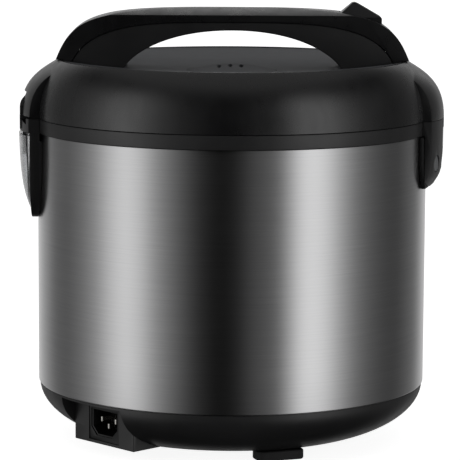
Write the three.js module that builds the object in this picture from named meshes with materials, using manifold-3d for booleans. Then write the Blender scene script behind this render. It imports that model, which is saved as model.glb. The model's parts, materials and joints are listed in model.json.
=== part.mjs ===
// Rice cooker with a carry handle, a hinged lid, a lift-out pot and a condensate cup.
// Millimetres, +Z up, front is -Y, rear is +Y. Origin: centre of the footprint on the floor.
import * as THREE from 'three';
import Module from 'manifold-3d';
import { mergeVertices } from 'three/addons/utils/BufferGeometryUtils.js';

const wasm = await Module();
wasm.setup();

// Driving dimensions
const GAP = 0.3; // clearance between neighbouring pieces
const BODY_R = 135; // outer radius of the steel sleeve
const SLEEVE_H = 175;
const SLEEVE_WALL = 0.8;
const FOOT_H = 7;
const BOWL_H = 31.5; // base bowl, from the feet up to the sleeve
const COLLAR_H = 9.9; // visible black band over the sleeve
const LID_H = 39; // from the seam up to the rim
const WALL = 2.5; // plastic wall
const POT_R = 113;
const POT_WALL = 1.8;
const POT_BOTTOM = 76;
const RIM_R = BODY_R - 14; // rim of the lid ring
const DISH = 7.4; // depth of the dished lid panel
const FRONT_HALF = 43; // half width of the control panel
const REAR_HALF = 38; // half width of the hinge housing
const REACH = 12.2; // how far both housings stand out past the sleeve
const HOUSING_DROP = 37.5; // control housing, below the sleeve's top edge
const HINGE_DROP = 59.5; // hinge housing, below the sleeve's top edge
const HANDLE_RISE = 35.8; // handle's top over the rim
const HANDLE_W = 39;
const CROWN_R = 40; // radius of the handle's crowned top
const HANDLE_T = 9.3; // handle's upper shell at mid span
const GRIP_T = 15.3; // whole handle at mid span
const PIN_R = 2;
const FOOT_R = 94;
const INLET_DIST = 119; // inlet face from the body's axis
const INLET_W = 60;
const KEY_R = 5.5;

// Levels and radii that follow
const zBase = FOOT_H;
const zSleeve = zBase + BOWL_H;
const zSleeveTop = zSleeve + SLEEVE_H;
const zSeam = zSleeveTop + GAP + COLLAR_H;
const zLid = zSeam + GAP;
const zRim = zLid + LID_H;
const zTop = zRim + HANDLE_RISE;
const COLLAR_R = BODY_R + 1.5;
const sleeveIn = BODY_R - SLEEVE_WALL;
const faceY = BODY_R + REACH; // outermost plane of both housings
const ARC_R = 86.8; // plan radius of both housings' outer faces
const arcC = faceY - ARC_R;
const pinY = BODY_R + 2;
const pinZ = zLid + 7;
const shelfR = POT_R + 9.3;
const DEG = Math.PI / 180;
const ROUND = 48; // sides of a large turned piece

// Colours
const BLACK = 0x1c1c1e;
const DARK = 0x101012;
const STEEL = 0xb4b4b6;
const GREY = 0x5a5b5e;
const ALU = 0xc4c6c8;
const WHITE = 0xc8c8c4;
const BOARD = 0x1f4a2c;

const model = new THREE.Group();
model.name = 'rice_cooker';

// Shape helpers
function fix(geometry) {
  const g = geometry.clone();
  for (const key of Object.keys(g.attributes)) {
    if (key !== 'position') g.deleteAttribute(key);
  }
  const merged = mergeVertices(g, 1e-4);
  const p = merged.attributes.position;
  const index = Array.from(merged.index.array);
  const tris = [];
  let volume = 0;
  const a = new THREE.Vector3();
  const b = new THREE.Vector3();
  const c = new THREE.Vector3();
  for (let i = 0; i < index.length; i += 3) {
    const [i0, i1, i2] = [index[i], index[i + 1], index[i + 2]];
    if (i0 === i1 || i1 === i2 || i0 === i2) continue;
    a.fromBufferAttribute(p, i0);
    b.fromBufferAttribute(p, i1);
    c.fromBufferAttribute(p, i2);
    volume += a.dot(b.clone().cross(c));
    tris.push(i0, i1, i2);
  }
  if (volume < 0) {
    for (let i = 0; i < tris.length; i += 3) [tris[i], tris[i + 1]] = [tris[i + 1], tris[i]];
  }
  merged.setIndex(tris);
  return merged;
}

function toSolid(geometry) {
  const g = fix(geometry);
  return new wasm.Manifold(new wasm.Mesh({
    numProp: 3,
    vertProperties: new Float32Array(g.attributes.position.array),
    triVerts: new Uint32Array(g.index.array),
  }));
}

function toGeometry(solid) {
  const m = solid.getMesh();
  const g = new THREE.BufferGeometry();
  g.setAttribute('position', new THREE.BufferAttribute(new Float32Array(m.vertProperties), 3));
  g.setIndex(Array.from(m.triVerts));
  return g;
}

function join(...geometries) {
  return toGeometry(geometries.map(toSolid).reduce((a, b) => a.add(b)));
}

function cut(base, ...tools) {
  return toGeometry(tools.map(toSolid).reduce((a, b) => a.subtract(b), toSolid(base)));
}

function common(a, b) {
  return toGeometry(toSolid(a).intersect(toSolid(b)));
}

// Turned piece about Z through (0, cy); points are [radius, z] round a closed outline
function turned(points, segments = ROUND, cy = 0) {
  const closed = [...points];
  const onAxis = points[0][0] === 0 && points[points.length - 1][0] === 0;
  if (!onAxis) closed.push(points[0]);
  const g = new THREE.LatheGeometry(closed.map(([r, z]) => new THREE.Vector2(r, z)), segments);
  return fix(g.rotateX(Math.PI / 2).translate(0, cy, 0));
}

function outline(points) {
  return new THREE.Shape(points.map(([u, v]) => new THREE.Vector2(u, v)));
}

function prism(points, depth, bevel = 0) {
  return new THREE.ExtrudeGeometry(outline(points), {
    depth: depth - 2 * bevel,
    bevelEnabled: bevel > 0,
    bevelSize: bevel,
    bevelThickness: bevel,
    bevelOffset: -bevel,
    bevelSegments: 2,
    steps: 1,
    curveSegments: 1,
  }).translate(0, 0, bevel);
}

// Outline in (y, z), extruded along X between x0 and x1
function prismX(points, x0, x1, bevel = 0) {
  const axes = new THREE.Matrix4().makeBasis(
    new THREE.Vector3(0, 1, 0), new THREE.Vector3(0, 0, 1), new THREE.Vector3(1, 0, 0));
  return fix(prism(points, x1 - x0, bevel).applyMatrix4(axes).translate(x0, 0, 0));
}

// Outline in (x, y), extruded along Z between z0 and z1
function prismZ(points, z0, z1, bevel = 0) {
  return fix(prism(points, z1 - z0, bevel).translate(0, 0, z0));
}

// Outline in (x, z), extruded along Y between y0 and y1
function prismY(points, y0, y1, bevel = 0) {
  const axes = new THREE.Matrix4().makeBasis(
    new THREE.Vector3(1, 0, 0), new THREE.Vector3(0, 0, 1), new THREE.Vector3(0, -1, 0));
  return fix(prism(points, y1 - y0, bevel).applyMatrix4(axes).translate(0, y1, 0));
}

function box(x0, x1, y0, y1, z0, z1) {
  return new THREE.BoxGeometry(x1 - x0, y1 - y0, z1 - z0)
    .translate((x0 + x1) / 2, (y0 + y1) / 2, (z0 + z1) / 2);
}

function rodZ(r, z0, z1, x = 0, y = 0, sides = 16) {
  return fix(new THREE.CylinderGeometry(r, r, z1 - z0, sides)
    .rotateX(Math.PI / 2).translate(x, y, (z0 + z1) / 2));
}

function rodX(r, x0, x1, y, z, sides = 20) {
  return fix(new THREE.CylinderGeometry(r, r, x1 - x0, sides)
    .rotateZ(Math.PI / 2).translate((x0 + x1) / 2, y, z));
}

function bezier(p0, p1, p2, p3, steps) {
  const v = (p) => new THREE.Vector2(...p);
  const curve = new THREE.CubicBezierCurve(v(p0), v(p1), v(p2), v(p3));
  return curve.getPoints(steps).map((p) => [p.x, p.y]);
}

// Wire along a helix about Z, from z0 to z1
function coil(radius, wire, z0, z1, turns) {
  class Helix extends THREE.Curve {
    getPoint(t, target = new THREE.Vector3()) {
      const angle = t * turns * 2 * Math.PI;
      return target.set(radius * Math.cos(angle), radius * Math.sin(angle), z0 + (z1 - z0) * t);
    }
  }
  const section = new THREE.Shape();
  section.absarc(0, 0, wire, 0, 2 * Math.PI);
  return fix(new THREE.ExtrudeGeometry(section, {
    steps: turns * 9, curveSegments: 2, bevelEnabled: false, extrudePath: new Helix(),
  }));
}

function place(name, geometry, color, roughness, metalness, parent = model) {
  const material = new THREE.MeshStandardMaterial({ color, roughness, metalness });
  const mesh = new THREE.Mesh(fix(geometry), material);
  mesh.name = name;
  parent.add(mesh);
  return mesh;
}

const plastic = (name, g, parent) => place(name, g, BLACK, 0.55, 0, parent);
const metal = (name, g, parent) => place(name, g, ALU, 0.4, 0.9, parent);

// Base: bowl, inlet block, vents and feet
const inletTurn = new THREE.Matrix4().makeRotationZ(-46 * DEG);
const inletAt = (g) => g.clone().applyMatrix4(inletTurn);
const inletTop = zBase + 30;
const SOCKET_W = 30;
const SOCKET_Z = zBase + 15; // centre height of the inlet opening
const SOCKET_H = 25;
const SOCKET_DEPTH = 19;
const PIN_DEPTH = 4; // pin tips, behind the inlet's face
const SCREW_RING = 72; // radius of the circle of base screws
const SCREW_R = 1.5;
const BOSS_H = 13;
const FOOT_PEG_R = 4;
const FAR = 200; // reaches past every piece
const bowlRadius = (z) => BODY_R - 69 + 68.2 * Math.sqrt(1 - ((zSleeve - z) / 35.9) ** 2);

function bowlProfile(inset, top) {
  const points = [];
  for (let i = 0; i <= 6; i += 1) {
    const z = zBase + (zSleeve - GAP - zBase) * (i / 6) ** 1.5;
    points.push([bowlRadius(z) - inset, Math.max(z, zBase + inset)]);
  }
  points.push([sleeveIn - GAP - inset, zSleeve - GAP], [sleeveIn - GAP - inset, top]);
  return points;
}

// Space in front of the inlet's face: the bowl is cut back to a flat pocket there
function inletPocket(grow) {
  const half = INLET_W / 2 + grow;
  return inletAt(box(-FAR, -INLET_DIST + grow, -half, half, zBase - 1, inletTop + grow / 2));
}

function baseHousing() {
  const tongue = zSleeve + 7.5;
  const half = INLET_W / 2;
  const outer = turned([[0, zBase], ...bowlProfile(0, tongue), [0, tongue]]);
  const block = inletAt(box(-INLET_DIST, -88, -half, half, zBase, inletTop));
  const inner = turned([
    [0, zBase + WALL], ...bowlProfile(WALL, tongue + 1), [0, tongue + 1],
  ]);
  const blockRoom = inletAt(box(
    -INLET_DIST + WALL, -80, -half + WALL, half - WALL, zBase + WALL, inletTop - WALL));
  const mouthHalf = SOCKET_W / 2 + GAP;
  const mouth = inletAt(box(-INLET_DIST - 1, -INLET_DIST + WALL + 1, -mouthHalf, mouthHalf,
    SOCKET_Z - SOCKET_H / 2 - GAP, SOCKET_Z + SOCKET_H / 2 + GAP));
  const holes = [];
  for (let i = 0; i < 8; i += 1) {
    const slot = box(30, 58, -2, 2, zBase - 1, zBase + WALL + 1);
    holes.push(slot.rotateZ((i * 45 + 22.5) * DEG));
  }
  for (const [x, y] of feet()) {
    holes.push(rodZ(FOOT_PEG_R + GAP, zBase - 1, zBase + WALL + 1, x, y));
  }
  for (const [x, y] of screws()) {
    holes.push(rodZ(SCREW_R + GAP, zBase - 1, zBase + BOSS_H + 1, x, y, 12));
  }
  const bosses = screws().map(([x, y]) => rodZ(4.5, zBase + 1, zBase + BOSS_H, x, y));
  const rooms = [cut(inner, inletPocket(WALL)), blockRoom];
  const shell = join(cut(join(outer, block), ...rooms), ...bosses);
  return cut(shell, inletPocket(0), mouth, ...holes);
}

function feet() {
  return [200, 340, 70, 110].map((a) => [FOOT_R * Math.cos(a * DEG), FOOT_R * Math.sin(a * DEG)]);
}

function screws() {
  return [30, 150, 270].map((a) => [
    SCREW_RING * Math.cos(a * DEG), SCREW_RING * Math.sin(a * DEG),
  ]);
}

function footPad(x, y) {
  const hw = 16.5;
  const hd = 8;
  const c = 4;
  const plan = [[-hd + c, -hw], [hd - c, -hw], [hd, -hw + c], [hd, hw - c], [hd - c, hw],
    [-hd + c, hw], [-hd, hw - c], [-hd, -hw + c]];
  const pad = prismZ(plan, 0, FOOT_H - GAP, 0.8).rotateZ(Math.atan2(y, x)).translate(x, y, 0);
  return join(pad, rodZ(FOOT_PEG_R, FOOT_H - 1, zBase + WALL + 1.5, x, y));
}

plastic('base_housing', baseHousing());
const footNames = ['foot_left', 'foot_right', 'foot_rear_right', 'foot_rear_left'];
feet().forEach(([x, y], i) => place(footNames[i], footPad(x, y), DARK, 0.8, 0));
screws().forEach(([x, y], i) => {
  const head = rodZ(3.5, zBase - GAP - 2, zBase - GAP, x, y, 12);
  metal(`base_screw_${i + 1}`, join(head, rodZ(SCREW_R, zBase - 1, zBase + BOSS_H - 1, x, y, 12)));
});

// Mains inlet: socket body and three pins
const pinsGroup = new THREE.Group();
pinsGroup.rotation.z = -46 * DEG;
model.add(pinsGroup);

function inletSocket() {
  const front = -INLET_DIST + 0.4;
  const half = SOCKET_W / 2;
  const body = box(front, front + SOCKET_DEPTH, -half, half,
    SOCKET_Z - SOCKET_H / 2, SOCKET_Z + SOCKET_H / 2);
  const w = 12.25;
  const h = 8.3;
  const c = 5;
  const mouth = [[w, h], [-w, h], [-w, -h + c], [-w + c, -h], [w - c, -h], [w, -h + c]];
  const axes = new THREE.Matrix4().makeBasis(
    new THREE.Vector3(0, 1, 0), new THREE.Vector3(0, 0, 1), new THREE.Vector3(1, 0, 0));
  const recess = prism(mouth, SOCKET_DEPTH - 2 + 1).applyMatrix4(axes)
    .translate(front - 1, 0, SOCKET_Z);
  const slots = pinPlaces().map(([y, z]) => box(front + 10, front + SOCKET_DEPTH + 1,
    y - 1 - GAP, y + 1 + GAP, z - 2 - GAP, z + 2 + GAP));
  return cut(body, recess, ...slots);
}

function pinPlaces() {
  return [[7, SOCKET_Z + 1.5], [-7, SOCKET_Z + 1.5], [0, SOCKET_Z - 2.5]];
}

place('inlet_socket', inletSocket(), DARK, 0.5, 0, pinsGroup);
['inlet_pin_line', 'inlet_pin_neutral', 'inlet_pin_earth'].forEach((name, i) => {
  const [y, z] = pinPlaces()[i];
  const back = -INLET_DIST + SOCKET_DEPTH + 6;
  metal(name, box(-INLET_DIST + PIN_DEPTH, back, y - 1, y + 1, z - 2, z + 2), pinsGroup);
});

// Brushed sleeve and the black collar over it
place('steel_sleeve', turned([
  [sleeveIn, zSleeve + 0.6], [sleeveIn + 0.3, zSleeve], [BODY_R - 0.2, zSleeve],
  [BODY_R, zSleeve + 0.8], [BODY_R, zSleeveTop], [sleeveIn, zSleeveTop],
]), STEEL, 0.3, 1);

const KNUCKLE_R = 9.2; // hinge knuckle that fills the notch in the lid's rear
const KNUCKLE_HALF = 20.7;
const LUG_T = 4.5;
const TROUGH_R = 12; // clears the lid's rear edge as it swings
const TROUGH_END = REAR_HALF - 4.5;
const trough = join(rodX(TROUGH_R, -TROUGH_END, -KNUCKLE_HALF, pinY, pinZ, 40),
  rodX(TROUGH_R, KNUCKLE_HALF, TROUGH_END, pinY, pinZ, 40));
const HOOK_W = 12;
const hookRoom = box(-HOOK_W / 2 - 1.5, HOOK_W / 2 + 1.5, -faceY + 3.6, -BODY_R + 4,
  zSleeveTop + GAP, zSeam + 1);

function collar() {
  const low = zSleeveTop + GAP;
  const shelf = zSeam - 4.7;
  const inR = POT_R + 2.8;
  const ring = turned([
    [COLLAR_R, low], [COLLAR_R, zSeam - 0.5], [COLLAR_R - 0.5, zSeam], [shelfR, zSeam],
    [shelfR, shelf], [inR, shelf], [inR, shelf - WALL], [sleeveIn - GAP - WALL, shelf - WALL],
    [sleeveIn - GAP - WALL, low - 7.8], [sleeveIn - GAP, low - 7.8], [sleeveIn - GAP, low],
  ]);
  return cut(ring, trough, hookRoom);
}
plastic('upper_collar', collar());

// Solid bounded by both housings' outer face; side is -1 for the front and 1 for the rear
function facing(profile, half, side, z0, z1) {
  const body = turned([[0, z0], ...profile, [0, z1]], 80, side * arcC);
  const [y0, y1] = side < 0 ? [-FAR, -60] : [60, FAR];
  return common(body, box(-half, half, y0, y1, z0 - 1, z1 + 1));
}

const sleeveCore = (r) => rodZ(r, 0, zSleeveTop + GAP, 0, 0, 96);
const collarCore = (r) => rodZ(r, zSleeveTop - 5, zSeam + GAP, 0, 0, 96);

// Hinge housing at the rear
const plateY = BODY_R + 3.2; // flat seat that the cup hangs on
const TAB_DROP = 17;

function hingeHousing() {
  const z0 = zSleeveTop - HINGE_DROP;
  const r = faceY + 0.5 - arcC;
  const low = zSleeveTop + GAP;
  const seat = collarCore(COLLAR_R + GAP);
  const head = cut(facing([[r, low], [r, zSeam]], REAR_HALF, 1, low, zSeam), seat);
  const w = REAR_HALF;
  const shape = [[-w, low + 0.5], [-w, z0 + 22], [-w + 3, z0 + 10], [-w + 12, z0 + 1.5], [-w + 20, z0],
    [w - 20, z0], [w - 12, z0 + 1.5], [w - 3, z0 + 10], [w, z0 + 22], [w, low + 0.5]];
  const back = cut(prismY(shape, 100, plateY), sleeveCore(BODY_R + GAP), seat);
  const tab = box(-9, 9, plateY + 4.4, plateY + 7, low - TAB_DROP, low + 1);
  const knuckle = join(rodX(KNUCKLE_R, -KNUCKLE_HALF, KNUCKLE_HALF, pinY, pinZ, 28),
    box(-KNUCKLE_HALF, KNUCKLE_HALF, pinY - 6, pinY + KNUCKLE_R, zSeam - 8, pinZ));
  const springRoom = box(-8, 8, pinY - 20, pinY + 5.2, pinZ - 5.2, pinZ + 5.2);
  const body = join(cut(join(head, back, tab), trough), knuckle);
  return cut(body, rodX(PIN_R + GAP, -40, 40, pinY, pinZ), springRoom, seat);
}
plastic('hinge_housing', hingeHousing());
const pinHalf = KNUCKLE_HALF + GAP + LUG_T;
metal('hinge_pin', rodX(PIN_R, -pinHalf, pinHalf, pinY, pinZ, 16));

const springGroup = new THREE.Group();
springGroup.position.set(0, pinY, pinZ);
springGroup.rotation.y = Math.PI / 2;
model.add(springGroup);
metal('hinge_spring', coil(3.8, 0.6, -7, 7, 4), springGroup);

// Clear condensate cup
const CUP_HALF = 35;
const CUP_WALL = 1.2;
const CUP_H = 55.5;
const cupTop = zSleeveTop - 1.5;
const cupBack = plateY + GAP;

function cupProfile(inset, top) {
  const z0 = cupTop - CUP_H;
  const pts = bezier([cupBack + 0.5 - arcC, z0], [cupBack + 6 - arcC, z0 + 10],
    [faceY + 0.6 - arcC, z0 + 22], [faceY + 1 - arcC, cupTop], 7);
  return pts.map(([r, z]) => [r - inset, z >= cupTop ? top : z + inset * 0.8]);
}

function condensateCup() {
  const z0 = cupTop - CUP_H;
  const behind = (y) => box(-100, 100, y, 200, z0 - 5, cupTop + 5);
  const outer = common(facing(cupProfile(0, cupTop), CUP_HALF, 1, z0, cupTop), behind(cupBack));
  const room = common(
    facing(cupProfile(CUP_WALL, cupTop + 1), CUP_HALF - CUP_WALL, 1, z0 + CUP_WALL, cupTop + 1),
    behind(cupBack + CUP_WALL));
  return cut(outer, room);
}
place('condensate_cup', condensateCup(), 0xd8dde0, 0.1, 0);

// Control housing at the front: flange, cover, window, board and keys
const zPanel = zSleeveTop - HOUSING_DROP;
const flangeR = BODY_R + 2.9;

function controlFlange() {
  const top = zSleeveTop - 0.2;
  const w = FRONT_HALF + 2.8;
  const shape = [[-w, top], [-w + 1.5, top - 20], [-w + 4, top - 30], [-w + 8, zPanel + 1.4],
    [w - 8, zPanel + 1.4], [w - 4, top - 30], [w - 1.5, top - 20], [w, top]];
  const ring = cut(rodZ(flangeR, zPanel, top + 1, 0, 0, 96), sleeveCore(BODY_R + GAP));
  return common(ring, prismY(shape, -200, -60));
}
plastic('control_flange', controlFlange());

function panelProfile(inset, top) {
  const out = faceY - arcC;
  return [[out - 9 - inset, zPanel + inset], [out - 3.5 - inset, zPanel + 7 + inset * 0.4],
    [out - 1.6 - inset, zPanel + 12], [out - 0.6 - inset, zPanel + 22],
    [out - inset, zPanel + 36], [out - inset, top]];
}

const COVER_WALL = 2.2;
const keyAngles = [-21, -7, 7, 21];
const keyZ = zPanel + 18;
const WINDOW_HALF = 17;
const WINDOW_Z = [zPanel + 28, zPanel + 41];
const windowPlan = (z0, z1, extra) => box(
  -WINDOW_HALF - extra, WINDOW_HALF + extra, -FAR, -100, z0 - extra, z1 + extra);

function atKey(g, angle) {
  return g.clone().rotateZ(angle * DEG).translate(0, -arcC, 0);
}

function rodOut(r, from, to, z, sides = 20) {
  return fix(new THREE.CylinderGeometry(r, r, to - from, sides).translate(0, -(from + to) / 2, z));
}

function controlCover() {
  const outer = facing(panelProfile(0, zSeam), FRONT_HALF, -1, zPanel, zSeam);
  const top = zSeam - COVER_WALL;
  const room = facing(
    panelProfile(COVER_WALL, top), FRONT_HALF - COVER_WALL, -1, zPanel + COVER_WALL, top);
  const keys = keyAngles.map((a) => atKey(rodOut(KEY_R + GAP, 70, 95, keyZ), a));
  const shell = cut(outer, room, sleeveCore(flangeR + GAP), collarCore(COLLAR_R + GAP), hookRoom);
  return cut(shell, windowPlan(...WINDOW_Z, GAP), ...keys);
}
plastic('control_cover', controlCover());

function displayWindow() {
  const out = faceY - arcC;
  const band = turned([[out - 1.8, WINDOW_Z[0]], [out - 0.2, WINDOW_Z[0]], [out - 0.2, WINDOW_Z[1]],
    [out - 1.8, WINDOW_Z[1]]], 80, -arcC);
  return common(band, windowPlan(...WINDOW_Z, 0));
}
place('display_window', displayWindow(), DARK, 0.1, 0);
const boardLow = keyZ + KEY_R + 2.2;
place('control_board', box(-22, 22, -faceY + 6.6, -faceY + 7.8, boardLow, zSleeveTop - 1),
  BOARD, 0.6, 0);

const keyNames = ['key_menu', 'key_timer', 'key_warm', 'key_start'];
keyAngles.forEach((a, i) => {
  const out = faceY - arcC - 0.6;
  const flange = rodOut(KEY_R + 1.2, out - 4.6, out - 3.7, keyZ);
  const cap = join(rodOut(KEY_R, out - 4.2, out + 0.9, keyZ), flange);
  place(keyNames[i], atKey(cap, a), 0x3a3b3e, 0.4, 0);
});

// Inside the body: liner, heating plate, element, sensor and power board
const plateTop = POT_BOTTOM - GAP;
const PLATE_T = 10;
const linerR = POT_R + 5;
const linerFloor = plateTop - PLATE_T - 5.7;

place('heat_shield', turned([
  [linerR + 6, zSeam - 8.3], [linerR + 6, zSeam - 7.5], [linerR - 0.8, zSeam - 7.5],
  [linerR - 0.8, linerFloor + 0.8], [75, linerFloor + 0.8], [75, linerFloor], [linerR, linerFloor],
  [linerR, zSeam - 8.3],
]), ALU, 0.5, 0.8);

function heatingPlate() {
  const disc = turned([[17, plateTop - PLATE_T], [94, plateTop - PLATE_T], [96, plateTop - PLATE_T + 3],
    [96, plateTop - 1], [95, plateTop], [17, plateTop]]);
  const legs = [90, 210, 330].map((a) => rodZ(5, linerFloor + 0.8 + GAP, plateTop - PLATE_T + 1,
    86 * Math.cos(a * DEG), 86 * Math.sin(a * DEG), 12));
  return join(disc, ...legs);
}
metal('heating_plate', heatingPlate());

const COIL_R = 62; // ring of the heating element

function heatingElement() {
  const z = plateTop - PLATE_T - GAP - 4;
  const around = [0, 60, 120, 180, 240, 300].map((a) => a * DEG);
  const section = around.map((a) => [COIL_R + 4 * Math.cos(a), z + 4 * Math.sin(a)]);
  const ring = turned(section, 36);
  const legs = [-8, 8].map((x) => rodZ(3, z - 16, z, x, COIL_R, 10));
  return join(ring, ...legs);
}
place('heating_element', heatingElement(), 0x6a6a6c, 0.6, 0.8);

const bracketZ = plateTop - 26;
const SENSOR_STEM_R = 4.5;

function sensorBracket() {
  const under = plateTop - PLATE_T - GAP;
  const strap = join(box(-32, 32, -8, 8, bracketZ, bracketZ + 2),
    box(-32, -30, -8, 8, bracketZ, under), box(30, 32, -8, 8, bracketZ, under));
  return cut(strap, rodZ(SENSOR_STEM_R + GAP, bracketZ - 1, bracketZ + 3));
}
place('sensor_bracket', sensorBracket(), ALU, 0.5, 0.8);

function potSensor() {
  const low = plateTop - 7;
  const head = turned([[0, low], [14, low], [15.5, low + 2], [15.5, plateTop - 1],
    [14.5, plateTop], [0, plateTop]], 32);
  return join(head, rodZ(SENSOR_STEM_R, bracketZ - 5, low + 2));
}
metal('pot_sensor', potSensor());
metal('sensor_spring', coil(8, 0.7, bracketZ + 3.2, plateTop - 8.2, 3));

const boardZ = zBase + 15;
const powerBoard = join(box(-20, 40, 44, 84, boardZ - 1.5, boardZ + 0.1),
  box(-12, 10, 50, 72, boardZ, boardZ + 16), box(18, 32, 52, 78, boardZ, boardZ + 12));
place('power_board', powerBoard, BOARD, 0.6, 0);

// Inner pot
function potProfile() {
  const c = 12;
  const rim = zSeam - 4.7 + GAP;
  const outer = [];
  const inner = [];
  for (let i = 0; i <= 3; i += 1) {
    const a = (i / 3) * 90 * DEG;
    outer.push([POT_R - c + c * Math.sin(a), POT_BOTTOM + c - c * Math.cos(a)]);
    const k = c - POT_WALL;
    inner.push([POT_R - c + k * Math.sin(a), POT_BOTTOM + c - k * Math.cos(a)]);
  }
  return [[0, POT_BOTTOM], ...outer, [POT_R, rim], [shelfR - 1.5, rim], [shelfR - 1.5, rim + POT_WALL],
    [POT_R - POT_WALL, rim + POT_WALL], ...inner.reverse(), [0, POT_BOTTOM + POT_WALL]];
}
place('inner_pot', turned(potProfile()), 0x4a4b4e, 0.45, 0.4);

// Lid: ring shell with both bulges, panel, liner, plate and gasket
const domeR = (z) => COLLAR_R - 24.7 + 25 * Math.sqrt(Math.max(0, 1 - ((z - zLid) / (LID_H + 3)) ** 2));
const panelTop = (r) => zRim - 0.6 - DISH + DISH * (r / (RIM_R - 2.2)) ** 2.5;

function domePoints(inset, from, to, count) {
  const points = [];
  for (let i = 0; i <= count; i += 1) {
    const z = from + (to - from) * Math.sin((i / count) * 90 * DEG);
    points.push([domeR(z) - inset, z]);
  }
  return points;
}

function bulgeProfile(inset) {
  const k = arcC;
  const pts = bezier([faceY - k, zLid], [faceY - k, zLid + 23.4],
    [faceY - 12.4 - k, zLid + 30.6], [RIM_R - k, zRim - 0.4], 6);
  return pts.map(([r, z], i) => [r - inset, i === 0 ? z : z - inset * 0.75]);
}

function ringSolid(inset, low) {
  const top = inset ? zRim - 6.5 : zRim;
  const side = domePoints(inset, zLid, top, 6).map(([r, z], i) => [r, i ? z : low]);
  return turned([[0, low], ...side, [0, top]]);
}

const REAR_LIFT = 1.2; // rear edge stands higher, to clear the body as it swings down
const LATCH_PIN_R = 1.5;
const latchY = -BODY_R + 1;
const latchZ = zLid + 17;

function lidShell() {
  const solid = (inset, half, side) => facing(
    bulgeProfile(inset), half, side, zLid, zRim - 0.4 - inset * 0.75);
  const rearLift = box(-REAR_HALF - 1, REAR_HALF + 1, COLLAR_R + 1, FAR, zLid - 1, zLid + REAR_LIFT);
  const outer = join(ringSolid(0, zLid), solid(0, FRONT_HALF, -1), solid(0, REAR_HALF, 1));
  const rooms = [ringSolid(WALL, zLid - 1), solid(WALL, FRONT_HALF - WALL, -1),
    solid(WALL, REAR_HALF - WALL, 1)];
  const front = box(-10, 10, -faceY + WALL + 0.6, -100, zLid - 1, zLid + 1);
  const seat = turned([[0, zRim - 20], [RIM_R - 9, zRim - 20], [RIM_R - 9, zRim - 4],
    [RIM_R - 1.9, zRim - 3.1], [RIM_R - 1.9, zRim + 1], [0, zRim + 1]]);
  const rear = box(-30, 30, 100, faceY - WALL - 1.6, zLid - 1, zLid + 1);
  const notch = box(-KNUCKLE_HALF - GAP, KNUCKLE_HALF + GAP, pinY - 2, FAR, zLid - 1,
    pinZ + KNUCKLE_R + 0.8);
  const lugs = [-1, 1].map((s) => {
    const [a, b] = s < 0 ? [-pinHalf, -KNUCKLE_HALF - GAP] : [KNUCKLE_HALF + GAP, pinHalf];
    const arm = box(a, b, pinY - 4.5, pinY + 4, pinZ, zLid + 27);
    return common(join(rodX(4.5, a, b, pinY, pinZ), arm), outer);
  });
  const ears = [-1, 1].map((s) => {
    const [a, b] = s < 0 ? [-11, -8.5] : [8.5, 11];
    const arm = box(a, b, latchY - 3.5, latchY + 3.5, latchZ, latchZ + 13);
    return common(join(rodX(3.5, a, b, latchY, latchZ), arm), outer);
  });
  const shell = cut(outer, ...rooms, front, rear, seat, rearLift, notch);
  const full = join(shell, ...lugs, ...ears);
  const pinHole = rodX(PIN_R + GAP, -pinHalf - GAP, pinHalf + GAP, pinY, pinZ);
  return cut(full, pinHole, rodX(LATCH_PIN_R + GAP, -12, 12, latchY, latchZ, 16));
}
plastic('lid_shell', lidShell());

const STEM_Y = 26.5 - RIM_R;
const STEM_HALF = 3.6;
const stemHole = (extra) => box(-STEM_HALF - extra, STEM_HALF + extra, STEM_Y - STEM_HALF - extra,
  STEM_Y + STEM_HALF + extra, zRim - 30, zTop - 5);
const VENT_R = 30;
const VENT_PIPE_R = 9;

function lidPanel() {
  const top = [];
  const radii = [VENT_R + 1, RIM_R * 0.41, RIM_R * 0.62, RIM_R * 0.81, RIM_R - 2.2];
  for (const r of radii) top.push([r, panelTop(r)]);
  const under = radii.map((r) => [r, panelTop(r) - 2]).reverse();
  under[0] = [RIM_R - 2.2, zRim - 2.8];
  const disc = [[0, panelTop(VENT_R) - 5], [0, panelTop(VENT_R) - 3.2], [VENT_R + 1, panelTop(VENT_R) - 3.2]];
  const ring = turned([...disc, ...top, ...under.slice(0, -1), [VENT_R + 3, panelTop(VENT_R) - 5]]);
  return cut(ring, rodZ(VENT_PIPE_R + GAP, zRim - 20, zRim), stemHole(GAP));
}
place('lid_panel', lidPanel(), GREY, 0.35, 0.3);

const ventFloor = panelTop(VENT_R) - 3.2 + GAP;
const VENT_H = 4.4;

function ventCap() {
  const z = panelTop(VENT_R);
  const body = turned([[0, ventFloor], [VENT_R + 0.7, ventFloor], [VENT_R + 0.7, z + 0.2],
    [26, z + 0.8], [20, z + 2.2], [13, z + 3.8], [7, z + VENT_H], [0, z + VENT_H + 0.1]], 28);
  const slots = [];
  for (const side of [-1, 1]) {
    for (const k of [-1, 0, 1]) {
      const y = k * 7.6;
      slots.push(box(side * 10 - 5, side * 10 + 5, y - 1.5, y + 1.5, ventFloor + 1.5, z + 10));
    }
  }
  const under = turned([[0, ventFloor - 1], [17, ventFloor - 1], [17, ventFloor + 2], [0, ventFloor + 2]], 32);
  return cut(body, ...slots, under);
}
place('vent_cap', ventCap(), GREY, 0.35, 0.3);
const ventPipe = rodZ(VENT_PIPE_R, zLid + 4.5 + GAP, ventFloor + 1.5, 0, 0, 24);
place('vent_tube', cut(ventPipe, rodZ(6, zLid, zRim, 0, 0, 24)), WHITE, 0.7, 0);

// Lid liner, removable plate, gasket and grommet
const linerLidR = COLLAR_R - WALL - 0.5;
const lidPlateR = POT_R - 4;

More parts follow.
